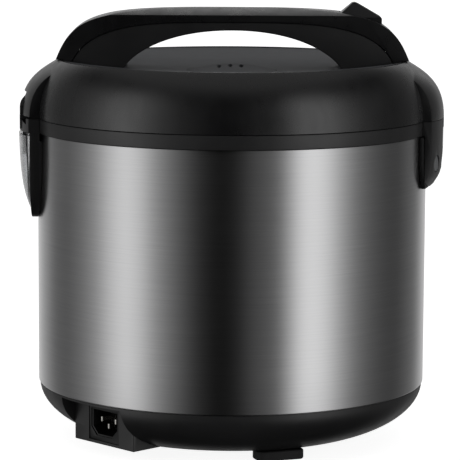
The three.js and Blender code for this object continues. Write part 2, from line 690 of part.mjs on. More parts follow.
function lidLiner() {
  const disc = rodZ(linerLidR, zLid + 2, zLid + 4.5, 0, 0, ROUND);
  return cut(disc, rodZ(5.5, zLid, zLid + 6, 0, 0, 24),
    box(-16, 16, -FAR, -linerLidR + 6, zLid, zLid + 6),
    box(-32, 32, linerLidR - 7.5, FAR, zLid, zLid + 6));
}
place('lid_liner', lidLiner(), BLACK, 0.6, 0);

function lidPlate() {
  const disc = turned([[5.5, zLid - 1.4], [lidPlateR, zLid - 1.4], [lidPlateR, zLid - 0.4],
    [5.5, zLid - 0.4]]);
  const holes = [];
  for (let i = 0; i < 6; i += 1) {
    const a = i * 60 * DEG;
    holes.push(rodZ(2.5, zLid - 3, zLid + 1, 40 * Math.cos(a), 40 * Math.sin(a), 8));
  }
  return cut(disc, ...holes);
}
metal('lid_plate', lidPlate());

const gasket = [[lidPlateR + GAP, zLid - 2.2], [shelfR - 2.8, zLid - 2.4], [shelfR - 1.8, zLid - 1],
  [shelfR - 4.3, zLid + 1.6], [lidPlateR + 3, zLid + 1.6], [lidPlateR + GAP, zLid]];
place('lid_gasket', turned(gasket), WHITE, 0.8, 0);
const grommet = [[0, zLid - 4], [8, zLid - 4], [9, zLid - 2], [9, zLid - 1.7], [5.2, zLid - 1.7],
  [5.2, zLid + 4.4], [0, zLid + 4.4]];
place('plate_grommet', turned(grommet, 24), WHITE, 0.8, 0);

// Carry handle in two shells
const handleOuter = (s) => bezier([0, zTop], [s * RIM_R * 0.823, zTop],
  [s * RIM_R * 0.911, zTop - 7.5], [s * (RIM_R + 0.6), zRim], 12);
const handleSplit = (s, d) => bezier([0, zTop - HANDLE_T - d], [s * RIM_R * 0.451, zTop - HANDLE_T - d],
  [s * (RIM_R - 23 - d), zTop - HANDLE_T + 0.4 - d], [s * (RIM_R - 10 - d), zRim - 2], 10);
const handleInner = (s) => bezier([0, zTop - GRIP_T], [s * RIM_R * 0.391, zTop - GRIP_T],
  [s * RIM_R * 0.5926, zRim + 2.8], [s * RIM_R * 0.628, zRim - 8], 10);

function fullOutline(upper, lower) {
  const top = [...upper(-1).reverse(), ...upper(1).slice(1)];
  const low = [...lower(1).reverse(), ...lower(-1).slice(1)];
  return [...top, ...low];
}

const panelRoom = turned([[0, zRim - 30], [RIM_R + 30, zRim - 30], [RIM_R + 30, zRim + GAP],
  [RIM_R - 2.2, zRim + GAP], ...[0.926, 0.868, 0.744, 0.62, 0.496].map((f) => [f * RIM_R, panelTop(f * RIM_R) + GAP]),
  [0, panelTop(RIM_R / 2) + GAP]]);
const BUTTON_Y = [18.2 - RIM_R, 46.6 - RIM_R];
const BUTTON_HALF = 11;
const buttonRoom = box(-BUTTON_HALF - GAP, BUTTON_HALF + GAP, BUTTON_Y[0] - GAP, BUTTON_Y[1] + GAP,
  zTop - 19, zTop + 20);
const springPocket = rodZ(7.5, zTop - 27, zTop - 18, 0, STEM_Y, 16);

// The handle's top is crowned across its width
function crown() {
  const half = HANDLE_W / 2;
  const points = [[half + 1, zRim - 30], [-half - 1, zRim - 30]];
  for (let i = -4; i <= 4; i += 1) {
    const x = ((half + 1) * i) / 4;
    points.push([x, zTop - x ** 2 / (2 * CROWN_R)]);
  }
  return prismY(points, -RIM_R - 5, RIM_R + 5);
}

function handleUpper() {
  const shape = fullOutline(handleOuter, (s) => handleSplit(s, 0));
  const band = common(prismX(shape, -HANDLE_W / 2, HANDLE_W / 2, 2), crown());
  return cut(band, panelRoom, buttonRoom, stemHole(GAP), springPocket);
}

function handleLower() {
  const half = HANDLE_W / 2 - 1.2;
  const arch = prismX(fullOutline((s) => handleSplit(s, GAP), handleInner), -half, half, 0);
  return cut(arch, panelRoom, buttonRoom, stemHole(GAP), springPocket);
}
plastic('handle_upper', handleUpper());
place('handle_lower', handleLower(), DARK, 0.6, 0);

// Release button, its spring and the latch lever
function releaseButton() {
  const z = zTop;
  const wedge = prismX([[BUTTON_Y[1], z - 3.6], [38 - RIM_R, z + 3.8], [35 - RIM_R, z + 3.4], [BUTTON_Y[0] + 0.6, z - 6],
    [BUTTON_Y[0], z - 7], [BUTTON_Y[0], z - 14], [BUTTON_Y[1], z - 14]], -BUTTON_HALF, BUTTON_HALF, 0);
  const stem = box(-STEM_HALF, STEM_HALF, STEM_Y - STEM_HALF, STEM_Y + STEM_HALF,
    latchZ + 9.2, z - 13);
  return join(wedge, stem);
}
place('release_button', releaseButton(), 0x141416, 0.25, 0);
const buttonSpring = new THREE.Group();
buttonSpring.position.set(0, STEM_Y, 0);
model.add(buttonSpring);
metal('button_spring', coil(6.2, 0.5, zTop - 26, zTop - 15, 3), buttonSpring);

function latchLever() {
  const hookLow = zSleeveTop + 1;
  const y = latchY;
  const z = latchZ;
  const arm = [[y - 3, z + 3], [y + 3, z + 3.2], [STEM_Y + 5, z + 8.6], [STEM_Y + 5, z + 6],
    [y + 5, z - 1], [y - 1.6, z - 3.5], [-COLLAR_R - 0.5, zSeam], [-COLLAR_R - 0.5, hookLow + 3],
    [-BODY_R, hookLow + 3], [-BODY_R, hookLow], [-COLLAR_R - 3.2, hookLow],
    [-COLLAR_R - 3.2, zSeam], [y - 4, z - 2]];
  return cut(prismX(arm, -HOOK_W / 2, HOOK_W / 2, 0), rodX(LATCH_PIN_R + GAP, -20, 20, y, z, 16));
}
place('latch_lever', latchLever(), BLACK, 0.5, 0);
metal('latch_pin', rodX(LATCH_PIN_R, -12.5, 12.5, latchY, latchZ, 12));
metal('latch_catch', box(-HOOK_W / 2, HOOK_W / 2, -BODY_R + 0.6, -BODY_R + 3.6,
  zSleeveTop + 5.5, zSleeveTop + 8.5));

export default model;
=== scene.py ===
import json
import math

import bpy
from mathutils import Matrix, Vector


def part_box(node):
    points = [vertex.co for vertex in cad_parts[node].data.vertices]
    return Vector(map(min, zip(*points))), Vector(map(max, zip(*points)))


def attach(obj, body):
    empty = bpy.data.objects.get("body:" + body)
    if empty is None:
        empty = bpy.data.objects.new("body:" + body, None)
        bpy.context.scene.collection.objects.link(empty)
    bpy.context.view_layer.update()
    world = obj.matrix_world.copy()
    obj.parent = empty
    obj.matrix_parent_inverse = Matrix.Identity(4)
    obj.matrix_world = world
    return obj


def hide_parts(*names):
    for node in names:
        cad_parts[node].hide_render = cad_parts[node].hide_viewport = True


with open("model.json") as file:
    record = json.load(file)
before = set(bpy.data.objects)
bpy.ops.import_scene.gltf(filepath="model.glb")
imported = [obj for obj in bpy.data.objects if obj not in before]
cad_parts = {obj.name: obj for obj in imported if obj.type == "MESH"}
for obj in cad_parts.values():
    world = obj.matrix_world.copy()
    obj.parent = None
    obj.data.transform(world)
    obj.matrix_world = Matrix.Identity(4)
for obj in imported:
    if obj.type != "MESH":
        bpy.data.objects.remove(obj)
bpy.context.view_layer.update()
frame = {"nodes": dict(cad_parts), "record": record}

# All lengths below are in millimetres; to_mesh turns them into metres.
MM = 0.001
ROUND = 180  # sides of a large turned piece
GAP = 0.3  # clearance between neighbouring pieces
BOXES = {name: [[v / MM for v in corner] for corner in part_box(name)] for name in frame["nodes"]}


def low(node, axis):
    return BOXES[node][0][axis]


def high(node, axis):
    return BOXES[node][1][axis]


def middle(node, axis):
    return (low(node, axis) + high(node, axis)) / 2


X, Y, Z = 0, 1, 2
BODY_R = high("steel_sleeve", X)
SLEEVE_LOW, SLEEVE_TOP = low("steel_sleeve", Z), high("steel_sleeve", Z)
COLLAR_R, SEAM = high("upper_collar", X), high("upper_collar", Z)
LID_LOW, RIM_Z = low("lid_shell", Z), high("lid_shell", Z)
FACE_Y = -low("lid_shell", Y)
FRONT_HALF = high("control_cover", X)
REAR_HALF = high("hinge_housing", X)
PANEL_R = high("lid_panel", X)
RIM_R = PANEL_R + 2.2
HANDLE_TOP = high("handle_upper", Z)
HANDLE_HALF = high("handle_upper", X)
ARC_R = 86.8  # plan radius of the faces of both housings
ARC_C = FACE_Y - ARC_R
TROUGH_END = REAR_HALF - 4.5
PIN_Y, PIN_Z = middle("hinge_pin", Y), middle("hinge_pin", Z)
WALL = 2.5  # of the base, the lid and the inlet's housing
TONGUE_R = BODY_R - 1.1  # spigots of base and collar inside the sleeve
KNUCKLE = 20.7  # half length of the hinge barrel
PIN_HOLE_R = 2.3
BASE_LOW = low("base_housing", Z)
FEET = ("foot_left", "foot_right", "foot_rear_right", "foot_rear_left")
INLET_FACE = 119  # from the body's axis
INLET_HALF = 30
INLET_H = 30
SOCKET_Z = BASE_LOW + 15  # centre height of the inlet's opening
SOCKET_HALF = 15
INLET_TURN = Matrix.Rotation(math.radians(-46), 4, "Z")
INLET_PINS = (("line", 7, 1.5), ("neutral", -7, 1.5), ("earth", 0, -2.5))


# ---------------------------------------------------------------- camera
def camera():
    data = bpy.data.cameras.new("camera")
    data.sensor_width = 36
    data.lens = 205.7
    data.clip_end = 50
    cam = bpy.data.objects.new("camera", data)
    bpy.context.scene.collection.objects.link(cam)
    pitch, yaw, roll = math.radians(8.096), math.radians(0.034), math.radians(0.3)
    forward = Vector((math.cos(pitch), math.sin(yaw), -math.sin(pitch))).normalized()
    right = forward.cross(Vector((0, 0, 1))).normalized()
    up = right.cross(forward)
    turn = Matrix.Rotation(-roll, 3, forward)
    right, up = turn @ right, turn @ up
    rows = [[right[i], up[i], -forward[i]] for i in range(3)]
    cam.matrix_world = Matrix.Translation((-1.8228, 0, 0.4021)) @ Matrix(rows).to_4x4()
    bpy.context.scene.camera = cam


# ---------------------------------------------------------------- mesh tools
def to_mesh(name, verts, faces):
    mesh = bpy.data.meshes.new(name)
    mesh.from_pydata([(x * MM, y * MM, z * MM) for x, y, z in verts], [], faces)
    mesh.update()
    obj = bpy.data.objects.new(name, mesh)
    bpy.context.scene.collection.objects.link(obj)
    outward(obj)
    return obj


def outward(obj):
    """Turns every face outward, by the sign of the enclosed volume."""
    volume = 0.0
    mesh = obj.data
    mesh.calc_loop_triangles()
    for tri in mesh.loop_triangles:
        a, b, c = (mesh.vertices[i].co for i in tri.vertices)
        volume += a.dot(b.cross(c))
    if volume < 0:
        mesh.flip_normals()


def lathe(name, profile, cy=0.0, sides=ROUND):
    """A closed outline of (radius, z) points turned about Z through (0, cy)."""
    verts, rings, faces = [], [], []
    for r, z in profile:
        if r <= 1e-9:
            rings.append([len(verts)])
            verts.append((0, cy, z))
        else:
            rings.append(list(range(len(verts), len(verts) + sides)))
            for k in range(sides):
                a = 2 * math.pi * k / sides
                verts.append((r * math.cos(a), cy + r * math.sin(a), z))
    for one, two in zip(rings, rings[1:] + rings[:1]):
        for k in range(sides):
            n = (k + 1) % sides
            if len(one) == 1 and len(two) == 1:
                break
            if len(one) == 1:
                faces.append((one[0], two[n], two[k]))
            elif len(two) == 1:
                faces.append((one[k], one[n], two[0]))
            else:
                faces.append((one[k], one[n], two[n], two[k]))
    return to_mesh(name, verts, faces)


def prism(name, points, axis, a, b):
    """An outline extruded along an axis: (y, z) along X, (x, z) along Y, (x, y) along Z."""
    place = {
        X: lambda u, v, w: (w, u, v),
        Y: lambda u, v, w: (u, w, v),
        Z: lambda u, v, w: (u, v, w),
    }[axis]
    n = len(points)
    verts = [place(u, v, a) for u, v in points] + [place(u, v, b) for u, v in points]
    faces = [tuple(range(n))[::-1], tuple(range(n, 2 * n))]
    faces += [(i, (i + 1) % n, n + (i + 1) % n, n + i) for i in range(n)]
    return to_mesh(name, verts, faces)


def block(name, x0, x1, y0, y1, z0, z1):
    return prism(name, [(x0, y0), (x1, y0), (x1, y1), (x0, y1)], Z, z0, z1)


def rod(name, axis, r, a, b, u, v, sides=48):
    ring = [(u + r * math.cos(2 * math.pi * k / sides), v + r * math.sin(2 * math.pi * k / sides))
            for k in range(sides)]
    return prism(name, ring, axis, a, b)


def applied(obj, modifier_type, **settings):
    """Adds one modifier, and keeps its result as the mesh."""
    modifier = obj.modifiers.new("step", modifier_type)
    for key, value in settings.items():
        setattr(modifier, key, value)
    graph = bpy.context.evaluated_depsgraph_get()
    graph.update()
    mesh = bpy.data.meshes.new_from_object(obj.evaluated_get(graph))
    mesh.name = obj.name
    obj.modifiers.clear()
    obj.data = mesh
    return obj


def combine(obj, operation, *others):
    for other in others:
        applied(obj, "BOOLEAN", operation=operation, solver="MANIFOLD", object=other)
        bpy.data.objects.remove(other)
    return obj


def cut(obj, *tools):
    return combine(obj, "DIFFERENCE", *tools)


def join(obj, *more):
    return combine(obj, "UNION", *more)


def common(obj, other):
    return combine(obj, "INTERSECT", other)


def rounded(obj, width, segments=3, angle=32):
    """Rounds the sharp edges, and shades the rest smooth."""
    if width:
        applied(obj, "BEVEL", width=width * MM, segments=segments, limit_method="ANGLE",
                angle_limit=math.radians(angle), use_clamp_overlap=True, miter_outer="MITER_ARC")
    return smooth(obj)


def smooth(obj, angle=32):
    mesh = obj.data
    mesh.polygons.foreach_set("use_smooth", [True] * len(mesh.polygons))
    mesh.set_sharp_from_angle(angle=math.radians(angle))
    return obj


def dress(obj, body, slot, material, *replaced):
    obj.data.materials.clear()
    obj.data.materials.append(material)
    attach(obj, body)
    if replaced:
        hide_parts(*replaced)
    return obj


def bezier(p0, p1, p2, p3, steps):
    points = []
    for k in range(steps + 1):
        t = k / steps
        s = 1 - t
        points.append(tuple(s ** 3 * a + 3 * s * s * t * b + 3 * s * t * t * c + t ** 3 * d
                            for a, b, c, d in zip(p0, p1, p2, p3)))
    return points


# ---------------------------------------------------------------- materials
class Shader:
    """A Principled material with a small set of node helpers."""

    def __init__(self, name, **sockets):
        self.material = bpy.data.materials.new(name)
        self.material.use_nodes = True
        self.tree = self.material.node_tree
        self.tree.nodes.clear()
        self.out = self.tree.nodes.new("ShaderNodeOutputMaterial")
        self.bsdf = self.tree.nodes.new("ShaderNodeBsdfPrincipled")
        self.link(self.bsdf.outputs[0], self.out.inputs[0])
        self.coords = self.tree.nodes.new("ShaderNodeTexCoord").outputs["Object"]
        for key, value in sockets.items():
            self.bsdf.inputs[key.replace("_", " ")].default_value = value

    def link(self, a, b):
        self.tree.links.new(a, b)

    def scaled(self, x, y, z):
        node = self.tree.nodes.new("ShaderNodeMapping")
        node.inputs["Scale"].default_value = (x, y, z)
        self.link(self.coords, node.inputs[0])
        return node.outputs[0]

    def noise(self, scale, detail=3.0, rough=0.5, vector=None):
        node = self.tree.nodes.new("ShaderNodeTexNoise")
        node.inputs["Scale"].default_value = scale
        node.inputs["Detail"].default_value = detail
        node.inputs["Roughness"].default_value = rough
        self.link(vector or self.coords, node.inputs["Vector"])
        return node.outputs[0]

    def between(self, value, a, b, lo=0.3, hi=0.7):
        node = self.tree.nodes.new("ShaderNodeMapRange")
        for key, number in zip(("From Min", "From Max", "To Min", "To Max"), (lo, hi, a, b)):
            node.inputs[key].default_value = number
        self.link(value, node.inputs["Value"])
        return node.outputs[0]

    def math(self, operation, a, b):
        node = self.tree.nodes.new("ShaderNodeMath")
        node.operation = operation
        self.link(a, node.inputs[0])
        self.link(b, node.inputs[1])
        return node.outputs[0]

    def ramp(self, value, dark, light):
        node = self.tree.nodes.new("ShaderNodeMix")
        node.data_type = "RGBA"
        node.inputs[6].default_value = (*dark, 1)
        node.inputs[7].default_value = (*light, 1)
        self.link(value, node.inputs[0])
        return node.outputs[2]

    def bump(self, height, strength, distance, onto=None):
        node = self.tree.nodes.new("ShaderNodeBump")
        node.inputs["Strength"].default_value = strength
        node.inputs["Distance"].default_value = distance
        self.link(height, node.inputs["Height"])
        if onto:
            self.link(onto, node.inputs["Normal"])
        self.link(node.outputs[0], self.bsdf.inputs["Normal"])
        return node.outputs[0]


def moulded(name, color, rough, grain=0.12, spread=0.05, specular=0.5, scale=1500.0):
    """Moulded plastic: fine grain, faint flow and handling marks in the gloss."""
    s = Shader(name)
    edge = s.tree.nodes.new("ShaderNodeLayerWeight")
    edge.inputs[0].default_value = 0.5
    gloss = s.between(edge.outputs["Facing"], specular, specular * 0.06, 0.5, 0.86)
    s.link(gloss, s.bsdf.inputs["Specular IOR Level"])
    fine = s.noise(scale, 2.0)
    broad = s.noise(22.0, 4.0, 0.6)
    wipe = s.noise(160.0, 3.0, 0.55, s.scaled(1, 1, 0.35))
    flow = s.between(broad, rough - spread, rough + spread)
    s.link(s.math("ADD", flow, s.between(wipe, -0.025, 0.025)), s.bsdf.inputs["Roughness"])
    light = tuple(min(1, c * 1.22 + 0.002) for c in color)
    s.link(s.ramp(s.between(broad, 0.0, 1.0), color, light), s.bsdf.inputs["Base Color"])
    s.bump(fine, grain, 0.00008)
    return s.material


def brushed_steel():
    """Steel brushed round the body: streaks run level and are very fine up the side."""
    s = Shader("steel_brushed", Metallic=1.0)
    s.bsdf.inputs["Anisotropic"].default_value = 0.85
    s.bsdf.inputs["Anisotropic Rotation"].default_value = 0.25
    fine = s.noise(1.0, 3.0, 0.6, s.scaled(30, 30, 2600))
    streak = s.noise(1.0, 4.0, 0.6, s.scaled(14, 14, 900))
    cloud = s.noise(7.0, 3.0, 0.5)
    mixed = s.math("ADD", s.between(fine, -0.02, 0.02), s.between(streak, 0.3, 0.34))
    s.link(s.math("ADD", mixed, s.between(cloud, -0.01, 0.01)), s.bsdf.inputs["Roughness"])
    tone = s.math("ADD", s.between(fine, 0.0, 0.5), s.between(streak, 0.0, 0.5))
    s.link(s.ramp(tone, (0.5, 0.5, 0.505), (0.6, 0.6, 0.603)), s.bsdf.inputs["Base Color"])
    tangent = s.tree.nodes.new("ShaderNodeTangent")
    tangent.direction_type = "RADIAL"
    tangent.axis = "Z"
    s.link(tangent.outputs[0], s.bsdf.inputs["Tangent"])
    return s.material


def metal(name, color, rough, grain_scale=600.0):
    s = Shader(name, Metallic=1.0)
    wear = s.noise(40.0, 5.0, 0.6)
    fine = s.noise(grain_scale, 3.0)
    s.link(s.between(wear, rough - 0.06, rough + 0.08), s.bsdf.inputs["Roughness"])
    worn = tuple(c * 0.86 for c in color)
    s.link(s.ramp(s.between(wear, 0.0, 1.0), worn, color), s.bsdf.inputs["Base Color"])
    s.bump(fine, 0.1, 0.00004)
    return s.material


def speckled(name):
    """Non-stick coating: dark, with pale flecks."""
    s = Shader(name, Metallic=0.25)
    fleck = s.noise(1400.0, 2.0, 0.7)
    base = s.ramp(s.between(fleck, 0.0, 1.0, 0.62, 0.7), (0.05, 0.05, 0.054), (0.32, 0.32, 0.33))
    s.link(base, s.bsdf.inputs["Base Color"])
    s.link(s.between(s.noise(18.0, 4.0), 0.38, 0.5), s.bsdf.inputs["Roughness"])
    s.bump(fleck, 0.12, 0.00006)
    return s.material


def clear(name):
    s = Shader(name)
    s.bsdf.inputs["Transmission Weight"].default_value = 1.0
    s.bsdf.inputs["IOR"].default_value = 1.2
    smear = s.noise(55.0, 4.0, 0.6, s.scaled(1, 1, 0.3))
    s.link(s.between(smear, 0.04, 0.2), s.bsdf.inputs["Roughness"])
    tint = s.ramp(s.between(smear, 0.0, 1.0), (0.62, 0.63, 0.64), (0.8, 0.81, 0.82))
    s.link(tint, s.bsdf.inputs["Base Color"])
    s.bump(smear, 0.05, 0.0003)
    return s.material


def circuit(name):
    s = Shader(name)
    copper = s.tree.nodes.new("ShaderNodeTexBrick")
    copper.inputs["Scale"].default_value = 260.0
    s.link(s.coords, copper.inputs["Vector"])
    base = s.ramp(copper.outputs["Fac"], (0.02, 0.1, 0.045), (0.05, 0.2, 0.09))
    s.link(base, s.bsdf.inputs["Base Color"])
    s.link(s.between(s.noise(90.0), 0.35, 0.55), s.bsdf.inputs["Roughness"])
    s.bump(copper.outputs["Fac"], 0.2, 0.0001)
    return s.material


BLACK = moulded("plastic_black", (0.02, 0.02, 0.0205), 0.38, grain=0.12, specular=0.6)
LID_BLACK = moulded("plastic_lid_black", (0.0055, 0.0055, 0.006), 0.29, grain=0.08, specular=0.8)
DARK = moulded("plastic_dark", (0.003, 0.003, 0.0033), 0.48, grain=0.16)
GLOSS = moulded("plastic_gloss", (0.004, 0.004, 0.0045), 0.2, grain=0.03, spread=0.04)
GREY = moulded("plastic_grey", (0.15, 0.153, 0.16), 0.55, grain=0.05, spread=0.04, specular=0.16)
RUBBER = moulded("rubber", (0.012, 0.012, 0.012), 0.75, grain=0.5, scale=900.0)
SILICONE = moulded("silicone", (0.42, 0.42, 0.4), 0.6, grain=0.15)
WINDOW = moulded("window_tinted", (0.002, 0.0025, 0.003), 0.08, grain=0.0, spread=0.02)
KEY = moulded("key_grey", (0.16, 0.165, 0.17), 0.4, grain=0.1)
STEEL = brushed_steel()
ALUMINIUM = metal("aluminium_spun", (0.72, 0.73, 0.74), 0.36)
WIRE = metal("steel_wire", (0.55, 0.55, 0.56), 0.25)
PLATED = metal("pin_plated", (0.72, 0.7, 0.66), 0.25)
COATING = speckled("pot_coating")
CLEAR = clear("clear_polycarbonate")
BOARD = circuit("circuit_board")
BY_SLOT = {
    "black_plastic": BLACK, "dark_plastic": DARK, "gloss_black": GLOSS, "rubber_black": RUBBER,
    "brushed_steel": STEEL, "lid_grey": GREY, "pot_coating": COATING, "aluminium": ALUMINIUM,
    "silicone": SILICONE, "clear_plastic": CLEAR, "display": WINDOW, "board": BOARD,
    "spring_steel": WIRE, "tinned_brass": PLATED,
}


def paint_cad():
    slots = {entry["node"]: entry["material_slot"] for entry in frame["record"]["subparts"]}
    for name, obj in frame["nodes"].items():
        obj.data.materials.clear()
        obj.data.materials.append(BY_SLOT[slots[name]])
        smooth(obj, 28)


# ---------------------------------------------------------------- body
def arc(cx, cz, r, from_deg, to_deg, steps):
    """Points on a circle, as (radius, z) pairs."""
    out = []
    for k in range(steps + 1):
        a = math.radians(from_deg + (to_deg - from_deg) * k / steps)
        out.append((cx + r * math.cos(a), cz + r * math.sin(a)))
    return out


def sleeve():
    inner_r = BODY_R - 0.8
    bend = 1.2
    start = SLEEVE_LOW + bend
    curl = arc(BODY_R - bend, start, bend, -90, 0, 5)
    rows = [(BODY_R, start + (SLEEVE_TOP - SLEEVE_LOW - bend) * k / 6) for k in range(1, 7)]
    inner = [(inner_r, SLEEVE_TOP), (inner_r, SLEEVE_LOW + 1.4), (BODY_R - bend, SLEEVE_LOW + 0.7)]
    obj = smooth(lathe("sleeve_brushed", curl + rows + inner), 40)
    dress(obj, "body", "brushed_steel", STEEL, "steel_sleeve")


def troughs():
    """Room for the lid's rear corners to swing, on both sides of the hinge barrel."""
    return [rod("trough", X, 12, a, b, PIN_Y, PIN_Z, 64)
            for a, b in ((-TROUGH_END, -KNUCKLE), (KNUCKLE, TROUGH_END))]


def hook_room():
    return block("hook_room", -7.5, 7.5, -FACE_Y + 3.6, -BODY_R + 4, SLEEVE_TOP + 0.4, SEAM + 2)


def collar():
    z0 = SLEEVE_TOP + GAP
    tongue_low = z0 - 7.8
    shelf = SEAM - 4.7  # the pot's rim rests on it
    under = shelf - WALL
    shelf_r = 122.3
    inner_r = 115.8
    profile = [(COLLAR_R - 0.6, z0)] + arc(COLLAR_R - 0.6, z0 + 0.6, 0.6, -90, 0, 3)[1:]
    profile += arc(COLLAR_R - 0.8, SEAM - 0.8, 0.8, 0, 90, 4)
    profile += [(shelf_r + 0.6, SEAM), (shelf_r, SEAM - 0.6), (shelf_r, shelf),
                (inner_r + 0.5, shelf), (inner_r, shelf - 0.5), (inner_r, under),
                (TONGUE_R - WALL, under), (TONGUE_R - WALL, tongue_low),
                (TONGUE_R, tongue_low), (TONGUE_R, z0)]
    obj = cut(lathe("collar_ring", profile), *troughs(), hook_room())
    dress(smooth(obj, 35), "body", "black_plastic", BLACK, "upper_collar")


def bowl_radius(z):
    return BODY_R - 69 + 68.2 * math.sqrt(max(0, 1 - ((SLEEVE_LOW - z) / 35.9) ** 2))


def base():
    top = SLEEVE_LOW + 7.5
    seam = SLEEVE_LOW - GAP
    steps = 16
    zs = [BASE_LOW + (seam - BASE_LOW) * (k / steps) ** 1.5 for k in range(steps + 1)]
    first = bowl_radius(BASE_LOW)
    outer = [(0, BASE_LOW), (first - 4, BASE_LOW), (first - 0.8, BASE_LOW + 0.2)]
    outer += [(bowl_radius(z), z) for z in zs[1:]]
    inner = [(bowl_radius(z) - WALL, max(z, BASE_LOW + WALL)) for z in reversed(zs)]
    bowl = lathe("base_bowl", outer + [(TONGUE_R, seam), (TONGUE_R, top), (0, top)])
    hollow = lathe("hollow", [(0, top + 1), (TONGUE_R - WALL, top + 1)] + inner[:-3] +
                   [(0, BASE_LOW + WALL)])
    face, half = INLET_FACE, INLET_HALF
    low_z, high_z = BASE_LOW, BASE_LOW + INLET_H
    shell = block("inlet_block", -face, -90, -half, half, low_z, high_z)
    space = block("room", -face + WALL, -60, -half + WALL, half - WALL,
                  low_z + WALL, high_z - WALL)
    mouth_half = SOCKET_HALF + GAP
    mouth = block("mouth", -face - 5, -face + 6, -mouth_half, mouth_half,
                  low_z + 2.2, high_z - 2.2)
    pocket = block("pocket", -200, -face, -half, half, low_z - 1, high_z)
    side = half + WALL
    keep = block("keep", -200, -face + WALL, -side, side, low_z - 1, high_z + WALL / 2)
    rounded(shell, 0.8, 3)
    for part in (shell, space, mouth, pocket, keep):
        part.data.transform(INLET_TURN)
    slots = []
    for k in range(8):
        slot = block("slot", 30, 58, -2, 2, BASE_LOW - 1, BASE_LOW + WALL + 1)
        slot.data.transform(Matrix.Rotation(math.radians(k * 45 + 22.5), 4, "Z"))
        slots.append(slot)
    join(bowl, shell)
    cut(bowl, cut(hollow, keep), space, pocket, mouth, *slots)
    for name in FEET:
        cut(bowl, rod("peg", Z, 4.3, BASE_LOW - 1, BASE_LOW + WALL + 1,
                      middle(name, X), middle(name, Y), 24))
    dress(smooth(bowl, 35), "body", "black_plastic", BLACK, "base_housing")


def inlet():
    front = -INLET_FACE + 0.4
    body = block("inlet_socket_moulded", front, front + 19, -SOCKET_HALF, SOCKET_HALF,
                 SOCKET_Z - 12.5, SOCKET_Z + 12.5)
    w, h, c = 12.25, 8.3, 5  # half width, half height and corner of the opening
    mouth = [(w, h), (-w, h), (-w, -h + c), (-w + c, -h), (w - c, -h), (w, -h + c)]
    recess = prism("recess", [(y, z + SOCKET_Z) for y, z in mouth], X, front - 1, front + 17)
    wider = [(y * 1.09, z * 1.12 + SOCKET_Z) for y, z in mouth]
    lip = prism("lip", wider, X, front - 1, front + 0.9)
    cut(body, recess, lip)
    for _, y, up in INLET_PINS:
        z = SOCKET_Z + up
        cut(body, block("pin_hole", front + 10, front + 21, y - 1.3, y + 1.3, z - 2.3, z + 2.3))
    rounded(body, 0.35, 2)
    body.data.transform(INLET_TURN)
    dress(body, "body", "dark_plastic", DARK, "inlet_socket")
    for name, y, up in INLET_PINS:
        z = SOCKET_Z + up
        pin = block("pin_" + name, -INLET_FACE + 4, -INLET_FACE + 25, y - 1, y + 1, z - 2, z + 2)
        rounded(pin, 0.6, 3)
        pin.data.transform(INLET_TURN)
        dress(pin, "body", "tinned_brass", PLATED, "inlet_pin_" + name)


def feet():
    for name in FEET:
        cx, cy = middle(name, X), middle(name, Y)
        top = BASE_LOW - GAP
        plan = []
        for sx, sy, start in ((1, 1, 0), (-1, 1, 90), (-1, -1, 180), (1, -1, 270)):
            for k in range(5):
                a = math.radians(start + k * 22.5)
                plan.append((sx * 4 + 4 * math.cos(a), sy * 12.5 + 4 * math.sin(a)))
        pad = prism("pad_" + name, plan, Z, 0, top)
        rounded(pad, 1.1, 3)
        ring = prism("ring", [(x * 0.62, y * 0.74) for x, y in plan], Z, -1, 0.6)
        cut(pad, ring)
        place = Matrix.Translation((cx * MM, cy * MM, 0))
        pad.data.transform(place @ Matrix.Rotation(math.atan2(cy, cx), 4, "Z"))
        join(pad, rod("peg", Z, 4, top - 1, high(name, Z), cx, cy, 24))
        dress(smooth(pad), "body", "rubber_black", RUBBER, name)


# ---------------------------------------------------------------- housings
def facing(name, profile, half, side, sides=240):
    """A solid turned about the housings' plan centre and cut to its half width."""
    z0, z1 = profile[0][1], profile[-1][1]
    body = lathe(name, [(0, z0)] + list(profile) + [(0, z1)], side * ARC_C, sides)
    y0, y1 = (60, 200) if side > 0 else (-200, -60)
    return common(body, block("slab", -half, half, y0, y1, z0 - 1, z1 + 1))


def sleeve_core(r):
    return rod("sleeve_core", Z, r, 0, SLEEVE_TOP + GAP, 0, 0, ROUND)


def collar_core(r):
    return rod("collar_core", Z, r, SLEEVE_TOP - 5, SEAM + GAP, 0, 0, ROUND)


PANEL_LOW = SLEEVE_TOP - 37.5


def panel_profile(inset, top):
    """The front housing from its lower lip to the seam: nearly upright, tucked in below."""
    r, z = ARC_R - inset, PANEL_LOW
    return [(r - 9, z + inset), (r - 6.2, z + 2.6 + inset * 0.7), (r - 3.5, z + 7 + inset * 0.4),
            (r - 2.3, z + 9.5), (r - 1.6, z + 12), (r - 1.0, z + 17), (r - 0.6, z + 22),
            (r - 0.25, z + 29), (r, z + 36), (r, top)]


KEYS = (("key_menu", -21), ("key_timer", -7), ("key_warm", 7), ("key_start", 21))  # degrees
KEY_Z = PANEL_LOW + 18


def at_key(obj, angle):
    place = Matrix.Translation((0, -ARC_C * MM, 0))
    obj.data.transform(place @ Matrix.Rotation(math.radians(angle), 4, "Z"))
    return obj


